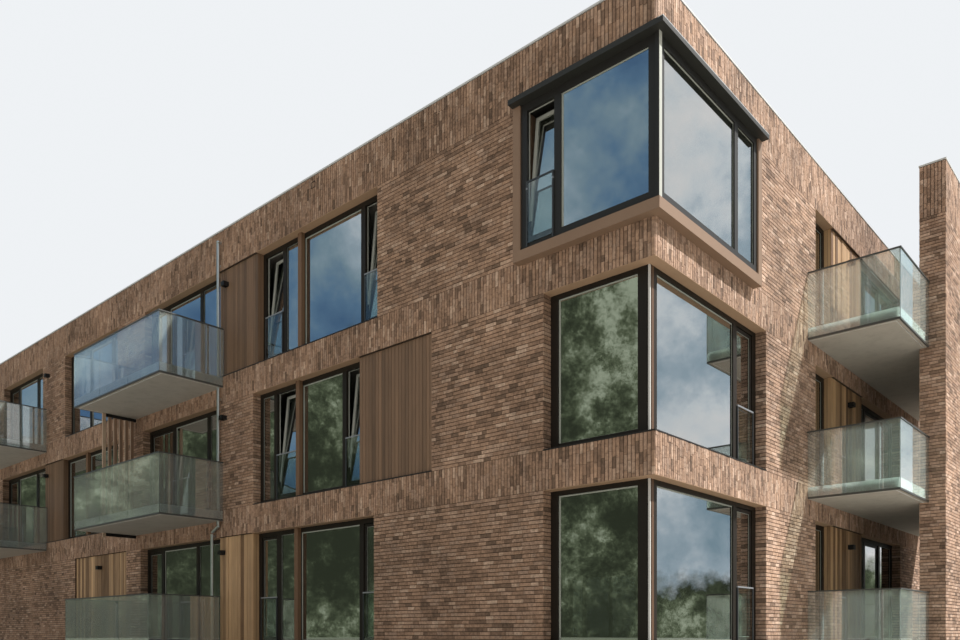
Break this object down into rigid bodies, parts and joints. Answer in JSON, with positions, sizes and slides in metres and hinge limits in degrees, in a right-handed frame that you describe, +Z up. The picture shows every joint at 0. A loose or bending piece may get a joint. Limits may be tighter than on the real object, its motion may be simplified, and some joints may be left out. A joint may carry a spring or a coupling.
{
  "type": "apartment block",
  "caption": "Three-storey brick apartment block with a corner bay window, glass balustraded balconies and a full-height brick screen wall",
  "frame": {"origin": "street corner of the two seen facades, outer brick faces, at ground level, m", "axes": "+X along the long front towards the side facade, -X back along the front; +Y from the front into the block along the side facade; +Z up"},
  "size_m": [28.94, 17.182, 10.72],
  "materials": {
    "brick_front": "long thin bricks in mixed browns, wild bond, recessed brown joints",
    "brick_side": "long thin bricks in mixed browns, wild bond, recessed brown joints",
    "concrete": "fair-faced precast concrete",
    "roofing": "roofing membrane",
    "coping_metal": "satin folded sheet",
    "frame_dark": "anthracite, satin",
    "casing_taupe": "taupe, satin",
    "canopy_grey": "dark grey, satin",
    "post_brown": "brown, satin",
    "slat_brown": "dark brown vertical boards",
    "board_tan": "tan vertical boards",
    "glass_clear": "clear",
    "glass_satin": "slightly satin",
    "rail_metal": "dark anodised",
    "pipe_zinc": "zinc grey",
    "lamp_black": "black, satin"
  },
  "bodies": {
    "root": {"plinth": "brick_front", "front_wall_ground": "brick_front", "front_wall_first": "brick_front", "front_wall_second": "brick_front", "side_wall_ground": "brick_side", "side_wall_first": "brick_side", "side_wall_second": "brick_side", "rear_wall_ground": "brick_front", "rear_wall_first": "brick_front", "rear_wall_second": "brick_front", "end_wall_ground": "brick_side", "end_wall_first": "brick_side", "end_wall_second": "brick_side", "parapet": "brick_front", "wall_copings": "coping_metal", "screen_wall": "brick_side", "ground_floor_slab": "concrete", "first_floor_slab": "concrete", "second_floor_slab": "concrete", "roof_slab": "concrete", "roof_covering": "roofing", "front_balcony_slabs": "concrete", "side_balcony_slabs": "concrete", "balcony_glass": "glass_satin", "balcony_rails": "rail_metal", "privacy_fins": "board_tan", "fin_channels": "lamp_black", "corner_window_frames": "frame_dark", "corner_window_glass": "glass_clear", "bay_casing": "casing_taupe", "bay_canopy": "canopy_grey", "bay_frame": "frame_dark", "bay_glass": "glass_clear", "front_window_frames": "frame_dark", "front_window_glass": "glass_clear", "sashes": "frame_dark", "room_posts": "post_brown", "juliet_rails": "rail_metal", "juliet_glass": "glass_satin", "slat_panels": "slat_brown", "board_panels": "board_tan", "side_window_frames": "frame_dark", "side_window_glass": "glass_clear", "rear_window_frames": "frame_dark", "rear_window_glass": "glass_clear", "window_sills": "rail_metal", "rainwater_pipes": "pipe_zinc", "wall_lamps": "lamp_black"}
  },
  "joints": []
}
